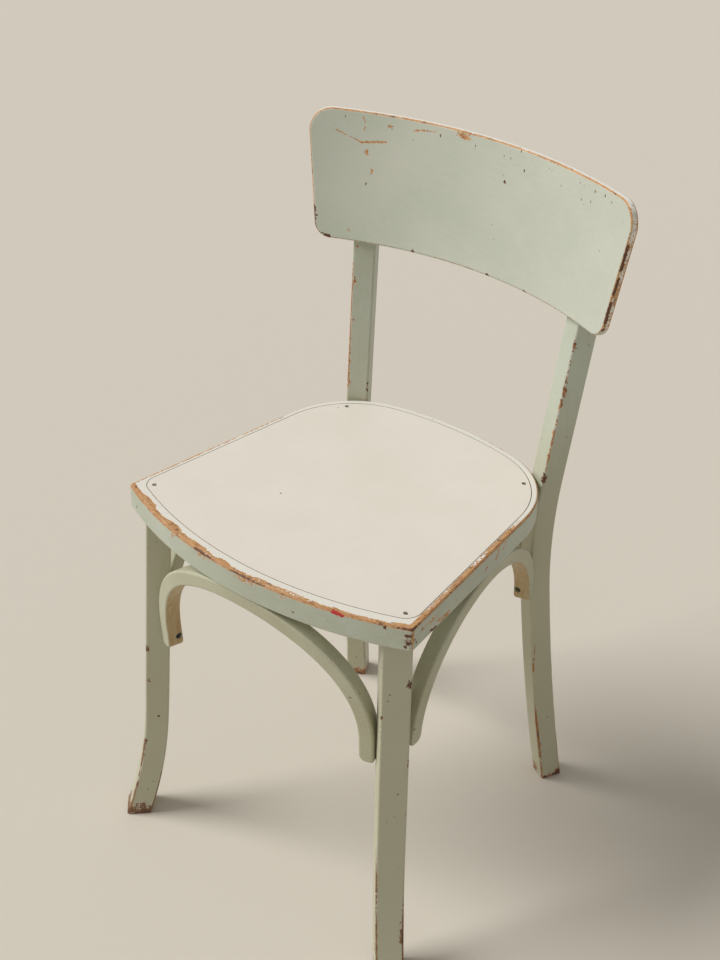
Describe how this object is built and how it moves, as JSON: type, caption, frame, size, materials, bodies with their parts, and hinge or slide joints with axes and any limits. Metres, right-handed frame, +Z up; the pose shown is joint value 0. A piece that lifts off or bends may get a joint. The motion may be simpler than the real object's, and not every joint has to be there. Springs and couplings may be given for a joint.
{
  "type": "wooden side chair",
  "caption": "Bentwood side chair with a curved backrest board, a bowed seat ring with a let-in panel, kicked legs and bent arches under the seat.",
  "frame": {"origin": "on the floor, under the middle of the chair's extent from side to side and from front to back", "axes": "+Z up, +Y from the front of the seat to the backrest, +X to the right as seen from the front"},
  "size_m": [0.4378, 0.4393, 0.8006],
  "materials": {
    "painted_wood": "worn satin mint paint over bare wood on the arrises",
    "panel_paint": "satin off-white paint",
    "screw_steel": "dark and dull",
    "nail_steel": "dark, partly painted over"
  },
  "bodies": {
    "root": {"seat_front_rail": "painted_wood", "seat_bent_rail": "painted_wood", "seat_panel": "panel_paint", "seat_panel_nails": "nail_steel", "front_leg_left": "painted_wood", "front_leg_right": "painted_wood", "rear_post_left": "painted_wood", "rear_post_right": "painted_wood", "backrest_board": "painted_wood", "front_arch": "painted_wood", "left_arch": "painted_wood", "right_arch": "painted_wood", "rear_arch": "painted_wood", "arch_end_screws": "screw_steel", "arch_crown_screws": "screw_steel", "post_ring_screws": "screw_steel", "backrest_screws": "screw_steel"}
  },
  "joints": []
}
